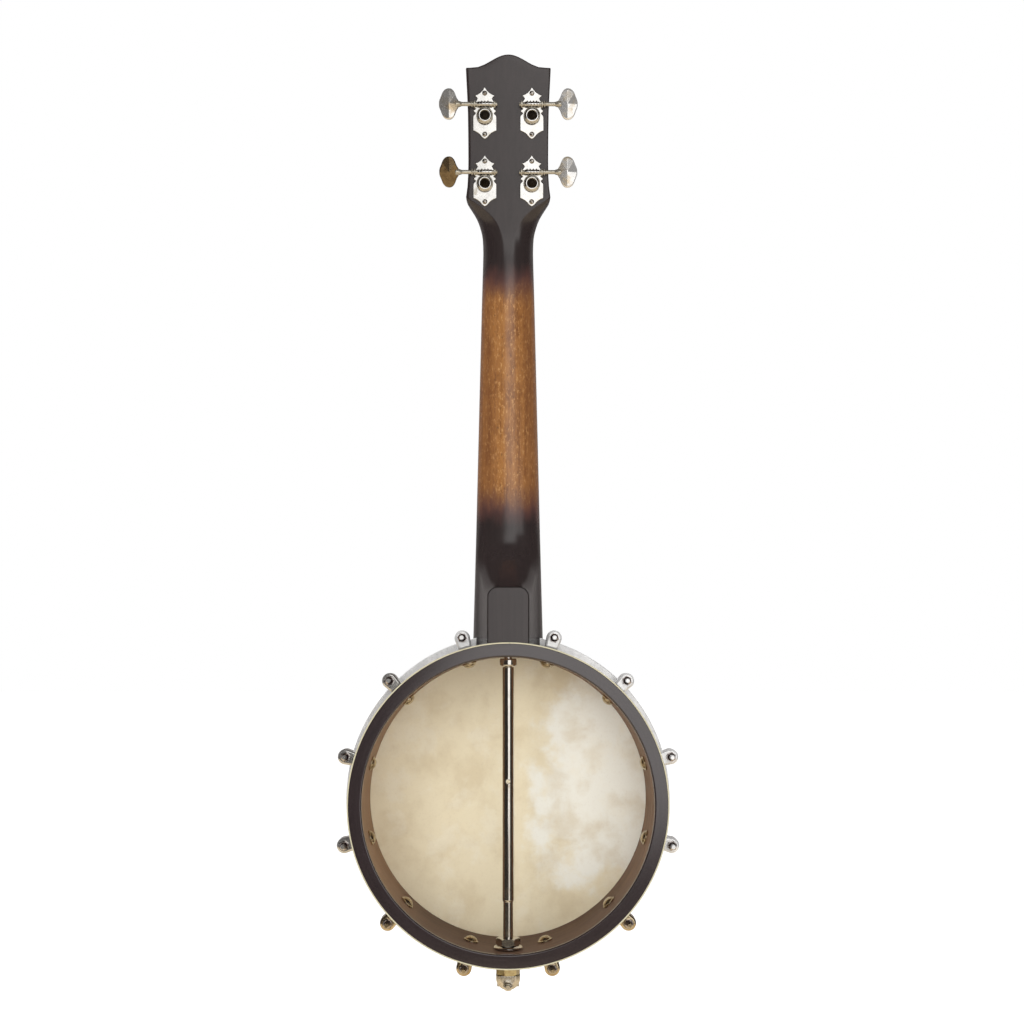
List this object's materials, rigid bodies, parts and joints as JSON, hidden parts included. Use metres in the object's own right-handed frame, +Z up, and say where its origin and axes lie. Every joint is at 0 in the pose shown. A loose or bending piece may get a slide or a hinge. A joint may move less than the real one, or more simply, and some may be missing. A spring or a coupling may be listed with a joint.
{
  "type": "banjo ukulele",
  "caption": "Banjo ukulele: open-backed skin drum in a bracketed wood rim, long fretted neck, flat headstock with geared tuners, metal rod across the drum.",
  "frame": {"origin": "where a hanger's yoke holds the instrument: on the middle plane, inside the neck where it widens into the headstock", "axes": "+Z up the neck, +Y towards the playing side of the skin, so the open back faces -Y, +X to the right as seen from the back"},
  "size_m": [0.2204, 0.0772, 0.6178],
  "materials": {
    "rim_lacquer": "satin dark brown stain",
    "rim_binding": "aged cream",
    "drum_skin": "translucent mottled skin",
    "flesh_hoop_brass": "dull",
    "hoop_nickel": "polished nickel",
    "bracket_nickel": "polished nickel",
    "rod_chrome": "polished",
    "end_nut_brass": "worn nickel over brass",
    "tailpiece_nickel": "polished nickel",
    "neck_lacquer": "shaded dark to red brown, satin lacquer",
    "fretboard_wood": "oiled dark wood",
    "nut_bone": "polished bone",
    "bridge_maple": "bare maple",
    "string_nylon": "clear nylon",
    "tuner_nickel": "polished nickel with brassy wear"
  },
  "bodies": {
    "instrument": {"rim": "rim_lacquer", "rim_binding": "rim_binding", "drum_head": "drum_skin", "flesh_hoop": "flesh_hoop_brass", "tension_hoop": "hoop_nickel", "bracket_shoe_01": "bracket_nickel", "tension_hook_01": "bracket_nickel", "bracket_shoe_02": "bracket_nickel", "tension_hook_02": "bracket_nickel", "bracket_shoe_03": "bracket_nickel", "tension_hook_03": "bracket_nickel", "bracket_shoe_04": "bracket_nickel", "tension_hook_04": "bracket_nickel", "bracket_shoe_05": "bracket_nickel", "tension_hook_05": "bracket_nickel", "bracket_shoe_06": "bracket_nickel", "tension_hook_06": "bracket_nickel", "bracket_shoe_07": "bracket_nickel", "tension_hook_07": "bracket_nickel", "bracket_shoe_08": "bracket_nickel", "tension_hook_08": "bracket_nickel", "bracket_shoe_09": "bracket_nickel", "tension_hook_09": "bracket_nickel", "bracket_shoe_10": "bracket_nickel", "tension_hook_10": "bracket_nickel", "bracket_shoe_11": "bracket_nickel", "tension_hook_11": "bracket_nickel", "bracket_shoe_12": "bracket_nickel", "tension_hook_12": "bracket_nickel", "coordinator_rod": "rod_chrome", "rod_collar": "rod_chrome", "rod_nut": "rod_chrome", "rod_washer": "rod_chrome", "end_nut": "end_nut_brass", "tailpiece_hanger": "tailpiece_nickel", "tailpiece": "tailpiece_nickel", "neck": "neck_lacquer", "fretboard": "fretboard_wood", "string_nut": "nut_bone", "bridge": "bridge_maple", "string_1": "string_nylon", "string_2": "string_nylon", "string_3": "string_nylon", "string_4": "string_nylon", "tuner_plate_upper_left": "tuner_nickel", "post_bushing_upper_left": "tuner_nickel", "tuner_plate_upper_right": "tuner_nickel", "post_bushing_upper_right": "tuner_nickel", "tuner_plate_lower_left": "tuner_nickel", "post_bushing_lower_left": "tuner_nickel", "tuner_plate_lower_right": "tuner_nickel", "post_bushing_lower_right": "tuner_nickel"},
    "button_upper_left": {"tuner_button_upper_left": "tuner_nickel"},
    "post_upper_left": {"tuner_post_upper_left": "tuner_nickel"},
    "button_upper_right": {"tuner_button_upper_right": "tuner_nickel"},
    "post_upper_right": {"tuner_post_upper_right": "tuner_nickel"},
    "button_lower_left": {"tuner_button_lower_left": "tuner_nickel"},
    "post_lower_left": {"tuner_post_lower_left": "tuner_nickel"},
    "button_lower_right": {"tuner_button_lower_right": "tuner_nickel"},
    "post_lower_right": {"tuner_post_lower_right": "tuner_nickel"}
  },
  "joints": [
    {"name": "button_turn_upper_left", "type": "hinge", "parent": "instrument", "child": "button_upper_left", "pos_m": [-0.0159, -0.02861, 0.0769], "axis": [1, 0, 0], "continuous": true},
    {"name": "post_turn_upper_left", "type": "hinge", "parent": "instrument", "child": "post_upper_left", "pos_m": [-0.0159, -0.02304, 0.07057], "axis": [0, -0.9756, -0.2193], "continuous": true},
    {"name": "button_turn_upper_right", "type": "hinge", "parent": "instrument", "child": "button_upper_right", "pos_m": [0.0159, -0.02861, 0.0769], "axis": [1, 0, 0], "continuous": true},
    {"name": "post_turn_upper_right", "type": "hinge", "parent": "instrument", "child": "post_upper_right", "pos_m": [0.0159, -0.02304, 0.07057], "axis": [0, -0.9756, -0.2193], "continuous": true},
    {"name": "button_turn_lower_left", "type": "hinge", "parent": "instrument", "child": "button_lower_left", "pos_m": [-0.0159, -0.01879, 0.03319], "axis": [1, 0, 0], "continuous": true},
    {"name": "post_turn_lower_left", "type": "hinge", "parent": "instrument", "child": "post_lower_left", "pos_m": [-0.0159, -0.01321, 0.02686], "axis": [0, -0.9756, -0.2193], "continuous": true},
    {"name": "button_turn_lower_right", "type": "hinge", "parent": "instrument", "child": "button_lower_right", "pos_m": [0.0159, -0.01879, 0.03319], "axis": [1, 0, 0], "continuous": true},
    {"name": "post_turn_lower_right", "type": "hinge", "parent": "instrument", "child": "post_lower_right", "pos_m": [0.0159, -0.01321, 0.02686], "axis": [0, -0.9756, -0.2193], "continuous": true}
  ],
  "couplings": [
    {"joint": "post_turn_upper_left", "follows": "button_turn_upper_left", "ratio": 0.0625},
    {"joint": "post_turn_upper_right", "follows": "button_turn_upper_right", "ratio": 0.0625},
    {"joint": "post_turn_lower_left", "follows": "button_turn_lower_left", "ratio": 0.0625},
    {"joint": "post_turn_lower_right", "follows": "button_turn_lower_right", "ratio": 0.0625}
  ]
}
